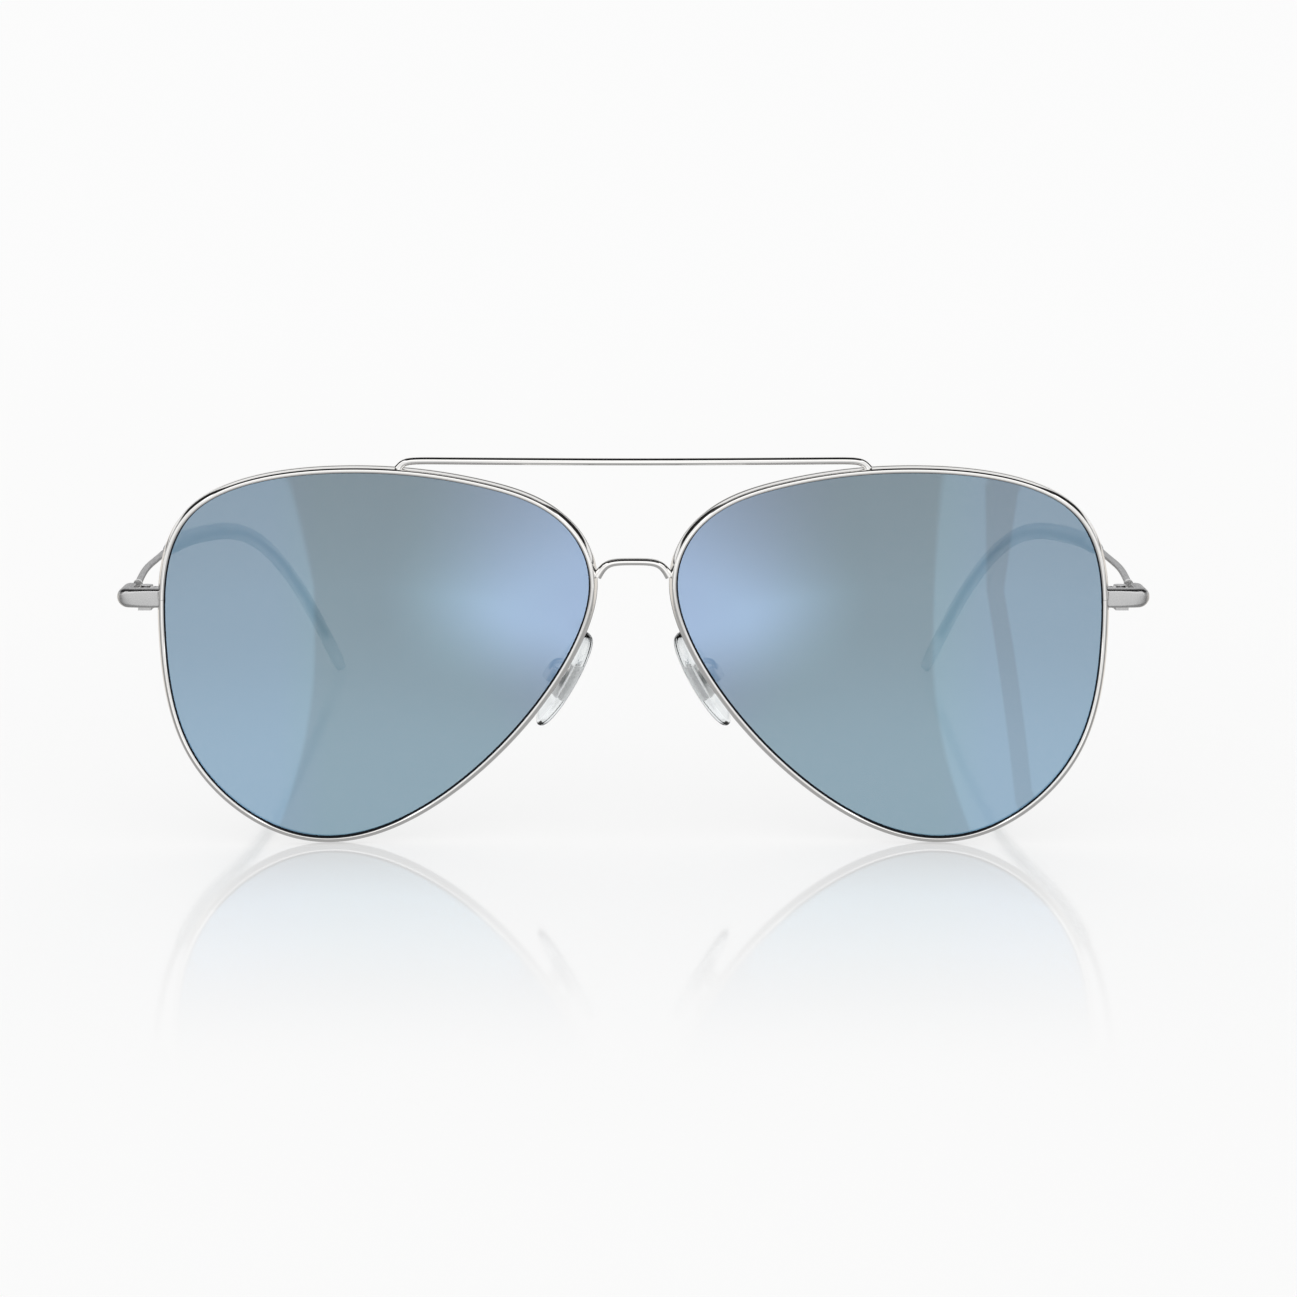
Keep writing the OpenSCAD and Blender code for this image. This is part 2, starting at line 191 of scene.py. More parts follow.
def rounded_corner(corner, before, after, radius, steps):
    """Points of the arc that rounds a corner between the directions to its neighbours."""
    a = unit(before - corner)
    b = unit(after - corner)
    half = math.acos(max(-1.0, min(1.0, float(a @ b)))) / 2
    reach = radius / math.tan(half)
    centre = corner + unit(a + b) * radius / math.sin(half)
    start = corner + a * reach - centre
    end = corner + b * reach - centre
    sweep = math.pi - 2 * half
    points = []
    for k in range(steps + 1):
        w = k / steps
        share = math.sin((1 - w) * sweep), math.sin(w * sweep)
        points.append(centre + (share[0] * start + share[1] * end) / math.sin(sweep))
    return points


def rounded_outline(corners, radii, steps=5):
    points = []
    n = len(corners)
    for i, (corner, radius) in enumerate(zip(corners, radii)):
        points += rounded_corner(corner, corners[i - 1], corners[(i + 1) % n], radius, steps)
    return np.array(points)


# ---- meshes ----


def finish_mesh(name, vertices, faces, side=1.0, sharp=38.0):
    """Object from points in the front's frame, with smooth shading up to the sharp angle."""
    points = np.array(vertices, float) * [side, 1, 1] + [0, FRONT_Y, 0]
    mesh = bpy.data.meshes.new(name)
    mesh.from_pydata([tuple(p) for p in points * MM], [], faces)
    work = bmesh.new()
    work.from_mesh(mesh)
    bmesh.ops.recalc_face_normals(work, faces=work.faces)
    for face in work.faces:
        face.smooth = True
    for edge in work.edges:
        edge.smooth = edge.calc_face_angle(0.0) < math.radians(sharp)
    work.to_mesh(mesh)
    work.free()
    piece = bpy.data.objects.new(name, mesh)
    bpy.context.scene.collection.objects.link(piece)
    return piece


def loft_faces(count, sides, start=0, closed=False, caps=True):
    """Faces of the skin through rows of points, with its end caps."""
    faces = []
    for i in range(count if closed else count - 1):
        for j in range(sides):
            k = (j + 1) % sides
            row, after = start + i * sides, start + (i + 1) % count * sides
            faces.append((row + j, row + k, after + k, after + j))
    if caps and not closed:
        faces.append(tuple(start + j for j in range(sides)))
        faces.append(tuple(start + (count - 1) * sides + j for j in range(sides)))
    return faces


def loft(name, rings, side=1.0, closed=False, sharp=38.0):
    rows = np.array(rings)
    faces = loft_faces(rows.shape[0], rows.shape[1], closed=closed)
    return finish_mesh(name, rows.reshape(-1, 3), faces, side, sharp)


def rounded_ends(rings, inset, steps=4):
    """Rings of a loft with more rings that round both its ends over by the inset."""

    def turned_in(row, outward):
        centre = row.mean(axis=0)
        reach = np.linalg.norm(row - centre, axis=1).max()
        extra = []
        for k in range(1, steps + 1):
            w = k / steps * math.pi / 2
            shrink = 1 - inset * (1 - math.cos(w)) / reach
            extra.append(centre + (row - centre) * shrink + outward * inset * (math.sin(w) - 1))
        return extra

    first, last = rings[0], rings[-1]
    out_first = unit(first.mean(axis=0) - rings[1].mean(axis=0))
    out_last = unit(last.mean(axis=0) - rings[-2].mean(axis=0))
    head = turned_in(first, out_first)[::-1]
    tail = turned_in(last, out_last)
    body = list(rings)
    body[0] = first - out_first * inset
    body[-1] = last - out_last * inset
    return head + body + tail


def tube(name, path, radius, across, side, to_t=None):
    """Round wire along a path, up to a place on it or to its end."""
    points = np.array(path, float)
    to_t = len(points) - 1 if to_t is None else to_t
    rings_per_span = 16
    count = math.ceil(to_t * rings_per_span)
    rings = []
    for i in range(count + 1):
        t = to_t * i / count
        place = open_point(points, t), heading(points, t), np.array(across)
        rings.append(ring(*place, radius, radius))
    return loft(name, rounded_ends(rings, 0.1), side)


# ---- materials ----


def new_material(name):
    material = bpy.data.materials.new(name)
    material.use_nodes = True
    nodes = material.node_tree.nodes
    return material, nodes, material.node_tree.links, nodes["Principled BSDF"]


def calc(nodes, links, operation, *values):
    """Math node on numbers and sockets."""
    step = nodes.new("ShaderNodeMath")
    step.operation = operation
    for socket, value in zip(step.inputs, values):
        if isinstance(value, (int, float)):
            socket.default_value = value
        else:
            links.new(value, socket)
    return step.outputs[0]


def spread(nodes, links, value, start, end, low=0.0, high=1.0, kind="LINEAR"):
    """Number that goes from low to high while the value goes from start to end."""
    step = nodes.new("ShaderNodeMapRange")
    step.interpolation_type = kind
    for socket, number in zip(("From Min", "From Max", "To Min", "To Max"), (start, end, low, high)):
        step.inputs[socket].default_value = number
    links.new(value, step.inputs["Value"])
    return step.outputs["Result"]


def eased(nodes, links, value, start, end, low=0.0, high=1.0):
    """The same, with a soft start and end."""
    return spread(nodes, links, value, start, end, low, high, "SMOOTHSTEP")


def ramp(nodes, links, value, stops):
    """Colour that follows a value from 0 to 1 through stops of (place, colour or grey level)."""
    step = nodes.new("ShaderNodeValToRGB")
    elements = step.color_ramp.elements
    elements.remove(elements[-1])
    for i, (place, colour) in enumerate(stops):
        element = elements.new(place) if i else elements[0]
        element.position = place
        element.color = (*colour, 1) if isinstance(colour, tuple) else (colour, colour, colour, 1)
    links.new(value, step.inputs["Fac"])
    return step.outputs["Color"]


def noise_bump(nodes, links, shader, scale, strength, distance):
    """Fine surface grain, in metres of the object's own space."""
    place = nodes.new("ShaderNodeTexCoord")
    noise = nodes.new("ShaderNodeTexNoise")
    noise.inputs["Scale"].default_value = scale
    noise.inputs["Detail"].default_value = 3.0
    bump = nodes.new("ShaderNodeBump")
    bump.inputs["Strength"].default_value = strength
    bump.inputs["Distance"].default_value = distance
    links.new(place.outputs["Object"], noise.inputs["Vector"])
    links.new(noise.outputs["Fac"], bump.inputs["Height"])
    links.new(bump.outputs["Normal"], shader.inputs["Normal"])
    return noise


def metal(name, colour, roughness, grain, bump):
    """Bare metal whose roughness follows its fine grain."""
    material, nodes, links, shader = new_material(name)
    shader.inputs["Base Color"].default_value = (*colour, 1)
    shader.inputs["Metallic"].default_value = 1
    noise = noise_bump(nodes, links, shader, grain, 0.2, bump)
    varied = spread(nodes, links, noise.outputs["Fac"], 0.3, 0.7, roughness * 0.8, roughness * 1.2)
    links.new(varied, shader.inputs["Roughness"])
    return material


# Colours of the mirror coating at distances from the middle of the glasses
COATING_REACH = 70.0
COATING = [
    (8, (0.278, 0.44, 0.70)), (18, (0.278, 0.455, 0.69)), (30, (0.27, 0.50, 0.655)),
    (43, (0.27, 0.505, 0.655)), (50, (0.274, 0.492, 0.70)),
]
# Heights between which the colours shift towards the nose, and the shift at the lower one
COATING_LOW = 10.0
COATING_HIGH = 32.0
COATING_SHIFT = 16.0


def lens_coating():
    """Pale blue mirror, more violet towards the nose, that lets part of the light through."""
    material, nodes, links, shader = new_material("mirror_coating")
    place = nodes.new("ShaderNodeTexCoord")
    split = nodes.new("ShaderNodeSeparateXYZ")
    links.new(place.outputs["Object"], split.inputs["Vector"])
    wide = calc(nodes, links, "ABSOLUTE", split.outputs["X"])
    height = split.outputs["Z"]
    shift = spread(nodes, links, height, COATING_LOW * MM, COATING_HIGH * MM, COATING_SHIFT * MM, 0.0)
    shifted = calc(nodes, links, "ADD", wide, shift)
    shifted = calc(nodes, links, "MINIMUM", shifted, LENS_X * MM)
    shifted = calc(nodes, links, "MAXIMUM", shifted, wide)
    reach = spread(nodes, links, shifted, 0.0, COATING_REACH * MM)
    stops = [(x / COATING_REACH, colour) for x, colour in COATING]
    links.new(ramp(nodes, links, reach, stops), shader.inputs["Base Color"])
    shader.inputs["Metallic"].default_value = 1
    shader.inputs["Roughness"].default_value = 0.01
    shader.inputs["Alpha"].default_value = 0.5
    return material


def lens_tint():
    """Dark grey body of the lens, seen from behind and through the coating."""
    material, nodes, links, shader = new_material("lens_tint")
    shader.inputs["Base Color"].default_value = (0.012, 0.016, 0.016, 1)
    shader.inputs["Roughness"].default_value = 0.03
    shader.inputs["Specular IOR Level"].default_value = 0.5
    shader.inputs["Alpha"].default_value = 0.68
    noise_bump(nodes, links, shader, 900, 0.02, 0.00001)
    return material


def lens_edge_and_painted_shade():
    """Ground edge of the lens, dark from in front, and the same dark laid on the lens front beside the
    rim as painted shade.
    """
    material, nodes, links, shader = new_material("lens_edge_and_painted_shade")
    shader.inputs["Base Color"].default_value = (0.006, 0.009, 0.014, 1)
    shader.inputs["Roughness"].default_value = 0.5
    shader.inputs["Specular IOR Level"].default_value = 0.1
    noise_bump(nodes, links, shader, 4000, 0.1, 0.00001)
    return material


def clear_soft(name, colour, roughness, transmission, ior):
    """Clear or milky plastic."""
    material, nodes, links, shader = new_material(name)
    shader.inputs["Base Color"].default_value = (*colour, 1)
    shader.inputs["Roughness"].default_value = roughness
    shader.inputs["Transmission Weight"].default_value = transmission
    shader.inputs["IOR"].default_value = ior
    noise_bump(nodes, links, shader, 1200, 0.05, 0.00002)
    return material


POLISHED = metal("polished_steel", (0.87, 0.86, 0.845), 0.06, 2500, 0.000004)
TEMPLE_METAL = metal("temple_steel", (0.42, 0.42, 0.425), 0.4, 3000, 0.00001)
SATIN = metal("satin_steel", (0.6, 0.6, 0.6), 0.3, 3500, 0.000004)
# Darker copy of the satin steel: painted shade for the upward faces of the end pieces
SATIN_PAINTED_SHADE = metal("satin_steel_painted_shade", (0.27, 0.27, 0.275), 0.3, 3500, 0.000004)
SCREW = metal("screw_steel", (0.5, 0.5, 0.51), 0.2, 3000, 0.00001)
MIRROR = lens_coating()
TINT = lens_tint()
LENS_EDGE_AND_SHADE = lens_edge_and_painted_shade()
SILICONE = clear_soft("clear_silicone", (0.93, 0.96, 0.97), 0.04, 1.0, 1.41)
SLEEVE = clear_soft("sleeve_plastic", (0.9, 0.94, 0.96), 0.3, 0.8, 1.46)
CORE = metal("core_steel", (0.9, 0.9, 0.9), 0.55, 3000, 0.00001)


def dress(piece, material, body, node):
    """Gives a piece its material, the body that it rides on and the CAD node that it replaces."""
    piece.data.materials.append(material)
    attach(piece, body)
    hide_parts(node)


# ---- rims and lenses ----


def on_sphere(x, z, radius):
    """Points on a sphere about the lens's centre, behind points of the front view."""
    depth = np.sqrt(radius**2 - (x - LENS_X) ** 2 - (z - LENS_Z) ** 2)
    return np.stack([x, LENS_CENTRE[1] + depth, z], axis=-1)


def edge_frame(t):
    """Point on the lens edge with the directions outwards and backwards from it."""

    def there(place):
        p = closed_point(LENS_EDGE, place)
        return on_sphere(p[0], p[1], LENS_RADIUS)

    p = there(t)
    back = unit(p - LENS_CENTRE)
    along = unit(there(t + 0.01) - there(t - 0.01))
    return p, np.cross(along, back), back


def rim_section():
    """Section of the rim wire: [outwards, backwards], crowned in front and outside."""
    h = RIM_D / 2
    g = GROOVE_T / 2
    front = RIM_CROWN - h
    swell = 0.04
    corners = [
        (0, front), (RIM_W * 0.35, -h), (RIM_W, front), (RIM_W + swell, 0.1), (RIM_W - swell, h),
        (0, h), (0, g), (GROOVE_DEPTH, g), (GROOVE_DEPTH, -g), (0, -g),
    ]
    radii = [0.08, 0.1, 0.36, 2.0, 0.24, 0.08, 0.03, 0.03, 0.03, 0.03]
    return rounded_outline([np.array(c, float) for c in corners], radii)


def rim(name, side):
    """Wire round the lens, open by a thin cut beside the end piece."""
    section = rim_section()
    spans = len(LENS_EDGE)
    rings_per_span = 28
    ahead = closed_point(LENS_EDGE, RIM_CUT_AT + 0.5)
    half_cut = RIM_CUT / 2 / np.linalg.norm(ahead - closed_point(LENS_EDGE, RIM_CUT_AT - 0.5))
    count = spans * rings_per_span
    rings = []
    for i in range(count + 1):
        t = RIM_CUT_AT + half_cut + (spans - 2 * half_cut) * i / count
        p, out, back = edge_frame(t % spans)
        rings.append(p + section[:, :1] * out + section[:, 1:] * back)
    return loft(name, rings, side)


def lens(name, side):
    """Lens with a coated front, a tinted back, a dark ground edge in the rim's groove and a band of
    painted shade on the front beside the rim.
    """
    points_per_span = 24
    around = len(LENS_EDGE) * points_per_span
    outline = []
    for i in range(around):
        p, out, _ = edge_frame(i / points_per_span)
        outline.append((p[0], p[2], out[0], out[2]))
    outline = np.array(outline)
    front_r = LENS_RADIUS - LENS_T / 2
    back_r = LENS_RADIUS + LENS_T / 2
    bevel_front = LENS_RADIUS - BEVEL_T / 2
    bevel_back = LENS_RADIUS + BEVEL_T / 2
    # The thin edge runs from inside the outline to as far past it, into the groove of the rim
    ledge = 0.2
    lip = 0.24
    # The dark band, painted shade on the lens front that runs on into the ground edge in the groove,
    # is a thin line under the brow and wider elsewhere
    dark_width = 0.3
    dark_extra = 0.17
    under_brow = np.clip(outline[:, 3] * 2 - 0.9, 0, 1)
    dark = dark_width + dark_extra * (1 - under_brow)

    def row(grow, radius):
        x = outline[:, 0] + grow * outline[:, 2]
        z = outline[:, 1] + grow * outline[:, 3]
        return on_sphere(x, z, radius)

    def shrunk(scale, radius):
        x = LENS_X + (outline[:, 0] - dark * outline[:, 2] - LENS_X) * scale
        z = LENS_Z + (outline[:, 1] - dark * outline[:, 3] - LENS_Z) * scale
        return on_sphere(x, z, radius)

    scales = np.linspace(0.04, 1.0, 25)
    rows = [shrunk(s, front_r) for s in scales]
    rows += [row(-lip, front_r), row(-(lip + ledge) / 2, front_r + 0.05)]
    rows += [row(-ledge, bevel_front), row(ledge, bevel_front)]
    dark_from = len(scales) - 1
    rows += [row(ledge, bevel_back), row(-ledge, bevel_back), row(-lip, back_r)]
    dark_to = len(rows) - 1
    rows += [shrunk(s, back_r) for s in scales[::-1]]
    vertices = np.vstack(rows)
    faces = loft_faces(len(rows), around, caps=False)
    ends = [on_sphere(np.array(LENS_X), np.array(LENS_Z), r) for r in (front_r, back_r)]
    first = len(vertices)
    last_row = (len(rows) - 1) * around
    faces += [(first, j, (j + 1) % around) for j in range(around)]
    faces += [(first + 1, last_row + j, last_row + (j + 1) % around) for j in range(around)]
    piece = finish_mesh(name, np.vstack([vertices, ends]), faces, side, sharp=60)
    # The third material covers the painted shade on the front beside the rim and the ground edge in
    # the groove
    for material in (MIRROR, TINT, LENS_EDGE_AND_SHADE):
        piece.data.materials.append(material)
    skin = dark_from * around
    edge = dark_to * around
    for face in piece.data.polygons:
        highest = max(face.vertices)
        if highest == first or (highest < first and min(face.vertices) < skin):
            face.material_index = 0
        elif highest < first and min(face.vertices) < edge:
            face.material_index = 2
        else:
            face.material_index = 1
    return piece


for side_name, side in SIDES.items():
    dress(rim("rim_wire_" + side_name, side), POLISHED, "front", "rim_" + side_name)
    glass = lens("mirror_lens_" + side_name, side)
    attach(glass, "front")
    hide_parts("lens_" + side_name)

# ---- bars ----

BACKWARDS = np.array([0, 1, 0])


def brow_bar():
    """Straight bar whose ends bend down to a soldered foot on each rim."""
    path = both_halves(BAR_PATH)
    spans = len(path) - 1
    rings_per_span = 24
    count = spans * rings_per_span
    rings = []
    for i in range(count + 1):
        t = spans * i / count
        foot = max(0.0, 1 - min(t, spans - t) / 0.5)
        radius = BAR_D / 2 * (1 + BAR_FOOT * foot**2)
        place = open_point(path, t), heading(path, t), BACKWARDS
        rings.append(ring(*place, radius, radius))
    return loft("brow_bar_wire", rounded_ends(rings, 0.12))


def nose_bridge():
    """Low arch between the rims, flatter and deeper in its middle."""
    path = both_halves(BRIDGE_PATH)
    spans = len(path) - 1
    rings_per_span = 20
    count = spans * rings_per_span
    rings = []
    for i in range(count + 1):
        t = spans * i / count
        flat = math.sin(math.pi * t / spans)
        half_w = BRIDGE_R + BRIDGE_SPREAD * flat
        half_h = BRIDGE_R - (BRIDGE_R - BRIDGE_H / 2) * flat
        place = open_point(path, t), heading(path, t), BACKWARDS
        rings.append(ring(*place, half_w, half_h))
    return loft("nose_bridge_wire", rings)


dress(brow_bar(), POLISHED, "front", "brow_bar")
dress(nose_bridge(), POLISHED, "front", "nose_bridge")

# ---- end pieces ----


def end_section(half_t, half_h, outer_r, inner_r):
    """Section of the end piece: [outwards, up], rounder on its outer side."""
    corners = [(half_t, -half_h), (half_t, half_h), (-half_t, half_h), (-half_t, -half_h)]
    radii = [outer_r, outer_r, inner_r, inner_r]
    return rounded_outline([np.array(c, float) for c in corners], radii, steps=8)


def end_piece(name, side):
    """Bar from the rim that turns back round the hinge, swept along its middle line."""
    half_t = END_T / 2
    half_h = END_H / 2
    bend_r = 1.1
    edge_r = 0.42
    inner_r = 0.25
    # Its outer side rounds over before the bend, up to nearly half its height
    end_r = half_h - 0.06
    round_from = 67.0
    round_over = 3.0
    middle_y = END_Y[0] + half_t
    middle_x = END_X[1] - half_t
    bend_x = middle_x - bend_r
    bend_y = middle_y + bend_r
    stations = []
    for x in np.linspace(END_X[0], bend_x, 12):
        stations.append((x, middle_y, -90.0))
    for w in np.linspace(-90, 0, 13)[1:]:
        a = math.radians(w)
        stations.append((bend_x + bend_r * math.cos(a), bend_y + bend_r * math.sin(a), w))
    for y in np.linspace(bend_y, END_Y[1], 8)[1:]:
        stations.append((middle_x, y, 0.0))
    rings = []
    for x, y, w in stations:
        turned = (w + 90) / 90
        near_end = min(1.0, max(0.0, (x - round_from) / round_over))
        share = max(min(1.0, turned * 1.3), 0.3 * near_end**2)
        section = end_section(half_t, half_h, edge_r + (end_r - edge_r) * share, inner_r)
        a = math.radians(w)
        outward = np.array([math.cos(a), math.sin(a), 0])
        middle = np.array([x, y, END_Z])
        rings.append(middle + section[:, :1] * outward + section[:, 1:] * [0, 0, 1])
    # A shallow notch takes the rim
    notch = 1 - np.abs(rings[0][:, 2] - END_Z) / half_h
    for k, share in ((0, 1.0), (1, 0.35)):
        rings[k] = rings[k] + np.outer(notch, [END_NOTCH * share, 0, 0])
    # Only the end behind the hinge is rounded over
    inset = 0.3
    steps = 4
    tail = rounded_ends(rings, inset, steps)[-steps:]
    rings[-1] = rings[-1] - np.array([0, inset, 0])
    return loft(name, rings + tail, side)


for side_name, side in SIDES.items():
    body = end_piece("end_piece_body_" + side_name, side)
    dress(body, SATIN, "front", "end_piece_" + side_name)
    # Faces that look upwards take the darker copy: painted shade on the end piece's top
    body.data.materials.append(SATIN_PAINTED_SHADE)
    for face in body.data.polygons:
        if face.normal.z > 0.5:
            face.material_index = 1

# ---- temples ----


def sleeve_fullness(t, end):
    """Share of the sleeve's full width: it swells from its mouth and tapers at its tip."""
    mouth = 0.62
    tip = 0.8
    start = mouth + (1 - mouth) * math.sin(min(math.pi / 2, math.pi * (t - SLEEVE_FROM)))
    return min(1, start, tip + 2 * (end - t))


def temple_tip(name, side):
    """Sleeve with a hole for the wire: up the inside, over the mouth, down the outside."""
    path = np.array(TEMPLE_PATH, float)
    end = len(path) - 1
    across = np.array([1.0, 0, 0])
    sides = 36
    bore_r = WIRE_D / 2 + BORE_GAP
    rings = []
    for t in np.linspace(BORE_TO, SLEEVE_FROM, 70):
        rings.append(ring(open_point(path, t), heading(path, t), across, bore_r, bore_r, sides))
    for t in [*np.linspace(SLEEVE_FROM, end - 0.1, 110), *np.linspace(end - 0.09, end, 8)]:
        full = sleeve_fullness(t, end)
        place = open_point(path, t), heading(path, t), across
        rings.append(ring(*place, SLEEVE_T / 2 * full, SLEEVE_H / 2 * full, sides))
    return loft(name, rings, side)


for side_name, side in SIDES.items():
    body = "temple_" + side_name
    wire = tube("temple_wire_rod_" + side_name, TEMPLE_PATH, WIRE_D / 2, [1, 0, 0], side, WIRE_TO)
    dress(wire, TEMPLE_METAL, body, "temple_wire_" + side_name)
    sleeve = temple_tip("temple_sleeve_" + side_name, side)
    dress(sleeve, SLEEVE, body, "temple_tip_" + side_name)

# ---- nose pads ----


def pad_axes():
    """Directions of the left pad: to its rear, up along it and away from the nose."""
    lean = math.radians(PAD_LEAN)
    splay = math.radians(PAD_SPLAY)
    outwards = np.array([math.cos(lean), 0, math.sin(lean)])
    rear = math.sin(splay) * outwards + [0, math.cos(splay), 0]
    up = np.array([-math.sin(lean), 0, math.cos(lean)])
    away = math.cos(splay) * outwards - [0, math.sin(splay), 0]
    return rear, up, away


def nose_pad(name, side):
    """Pebble of silicone: full towards its middle and rounded over at its edge."""
    rear, up, away = pad_axes()
    steps = 10
    around = len(PAD_OUTLINE) * steps
    outline = np.array([closed_point(PAD_OUTLINE, i / steps) for i in range(around)])
    outline = outline * [PAD_WIDTH / 2, PAD_LENGTH / 2]
    flat = outline[:, :1] * rear + outline[:, 1:] * up
    rows = []
    for w in np.linspace(-88, 88, 33):
        a = math.radians(w)
        reach = math.cos(a) ** 0.45
        height = PAD_T / 2 * math.copysign(abs(math.sin(a)) ** 0.7, a)
        rows.append(PAD_CENTRE + flat * reach + height * away)
    return loft(name, rows, side, sharp=70)


for side_name, side in SIDES.items():
    pad = nose_pad("silicone_pad_" + side_name, side)
    dress(pad, SILICONE, "pad_" + side_name, "nose_pad_" + side_name)
    arm = tube("pad_arm_wire_" + side_name, PAD_ARM_PATH, PAD_ARM_D / 2, [0, 0, 1], side)
    dress(arm, POLISHED, "front", "pad_arm_" + side_name)

# ---- carried-over CAD nodes ----

CARRIED = {
    "closing_block_upper": SATIN, "closing_block_lower": SATIN, "hinge_front": SATIN,
    "hinge_temple": SATIN, "closing_screw": SCREW, "hinge_screw": SCREW, "pad_screw": SCREW,
    "pad_box": POLISHED, "pad_core": CORE,
}
for stem, material in CARRIED.items():
    for side_name in SIDES:
        node = frame["nodes"][stem + "_" + side_name]
        node.data.materials.clear()
        node.data.materials.append(material)
        soften = node.modifiers.new("soften", "BEVEL")
        soften.width = 0.05 * MM
        soften.segments = 2
        soften.limit_method = "ANGLE"
        soften.angle_limit = math.radians(40)
        soften.harden_normals = True

# ---- studio and camera ----

# What mirrors see in front: a card this far from the front plane, and the floor before it.
# Its light follows x and the rise, which is the height on the card and, below zero, the
# distance before it on the floor.
CARD_AT = 100.0
CARD_H = 60.0
CARD_HALF = 300.0
GLOW_LEVEL = 0.62
GLOW_MIDDLE = 1.1
# Share of the gleam that is lost inside a clear piece
CLEAR_LOSS = 0.85
# It grows slowly with the rise, and faster on one stretch
SLOW_STRETCH = (-28.0, 30.0)
SLOW_LIGHT = (0.82, 1.3)
FAST_STRETCH = (4.5, 22.0)
FAST_LIGHT = 0.25
# The bright middle narrows a little upwards, and more and more above its shoulder
BRIGHT_HALF = 39.3
BRIGHT_LEAN = -0.02
BRIGHT_SHOULDER = 8.0
BRIGHT_CURVE = 0.009
BRIGHT_BLUR = 0.35
BRIGHT_LIGHT = 0.43
# A leaning post stands in front of the bright middle on one side
POST_X = 33.1
POST_LEAN = -0.15
POST_EDGE = (0.9, 1.25)
POST_SHADE = 0.85
# A low lamp stands on each side
LAMP_START = (46.0, 66.0)
LAMP_END = (74.0, 86.0)
LAMP_TOP = (1.0, 14.0)
LAMP_LIGHT = 1.42

# What mirrors see of the floor beside and behind, by the share of half a turn from the back
BEIGE = (0.80, 0.765, 0.72)
FLOOR_GREY = 0.4
FLOOR_AROUND = [
    (0.08, 0.3), (0.13, BEIGE), (0.36, BEIGE), (0.44, 0.28), (0.62, 0.28), (0.75, 0.95),
]
FLOOR_AROUND_FROM = (60.0, 130.0)
FLOOR_FRONT_TO = (-66.0, -52.0)

# What mirrors see above, by the degrees from the front over the zenith to the back
CEILING_LEVEL = 2.0
CEILING = [
    (0, 0.95), (22, 1.0), (30, 1.7), (38, 1.7), (43, 0.9), (47, 0.02), (128, 0.02),
    (133, 0.92), (145, 0.92), (149, 0.15), (156, 0.15), (159, 0.95), (180, 0.97),
]
CEILING_SIDES = (0.35, 0.55)
CEILING_SHIFT = 0.16

FLOOR_HALF = 6000.0
FLOOR_WHITE = (0.99, 0.99, 0.987)
FLOOR_SHINE = 0.5
SHINE_ANGLE = (0.4, 0.66)
SHINE_REACH = 100.0
# Away from the object the floor passes into the white of the studio
STUDIO_SHARE = 0.45
STUDIO_FROM = (150.0, 900.0)

CAMERA_BACK = 400.0
CAMERA_HEIGHT = 103.5
CAMERA_AIM = 27.93
CAMERA_LENS = 81.35
CAMERA_SHIFT = 0.0117


def front_place(nodes, links):
    """Sockets for x, for y back from the front plane and for z, in millimetres."""
    place = nodes.new("ShaderNodeNewGeometry")
    split = nodes.new("ShaderNodeSeparateXYZ")
    links.new(place.outputs["Position"], split.inputs["Vector"])
    x, y, z = (calc(nodes, links, "MULTIPLY", split.outputs[axis], 1 / MM) for axis in "XYZ")
    return x, calc(nodes, links, "SUBTRACT", y, FRONT_Y), z


def off_centre(nodes, links, value, centre):
    """Distance of a value from a centre, to either side."""
    return calc(nodes, links, "ABSOLUTE", calc(nodes, links, "SUBTRACT", value, centre))


def past(nodes, links, value, limit):
    """How far a value is past a limit, or zero."""
    return calc(nodes, links, "MAXIMUM", calc(nodes, links, "SUBTRACT", value, limit), 0.0)


def distance(nodes, links, a, b):
    """Length of the slope over two lengths that are square to each other."""
    squares = [calc(nodes, links, "MULTIPLY", length, length) for length in (a, b)]
    return calc(nodes, links, "SQRT", calc(nodes, links, "ADD", *squares))


def mixed(nodes, links, share, first, second):
    """Mix of two shaders, with the share that the second one has."""
    mix = nodes.new("ShaderNodeMixShader")
    links.new(share, mix.inputs["Fac"])
    links.new(first.outputs[0], mix.inputs[1])
    links.new(second.outputs[0], mix.inputs[2])
    return mix


def bright_middle(nodes, links, x, wide, rise):
    """Light of the bright middle, with the post that stands in front of it."""
    over = past(nodes, links, rise, BRIGHT_SHOULDER)
    curve = calc(nodes, links, "MULTIPLY", calc(nodes, links, "MULTIPLY", over, over), BRIGHT_CURVE)
    limit = calc(nodes, links, "MULTIPLY_ADD", rise, BRIGHT_LEAN, BRIGHT_HALF)
    inside = calc(nodes, links, "SUBTRACT", calc(nodes, links, "SUBTRACT", limit, curve), wide)
    light = eased(nodes, links, inside, -BRIGHT_BLUR, BRIGHT_BLUR, 0.0, BRIGHT_LIGHT)
    post_x = calc(nodes, links, "MULTIPLY_ADD", rise, POST_LEAN, POST_X)
    post = eased(nodes, links, off_centre(nodes, links, x, post_x), *POST_EDGE, POST_SHADE, 0.0)
    return calc(nodes, links, "MULTIPLY", light, calc(nodes, links, "SUBTRACT", 1.0, post))


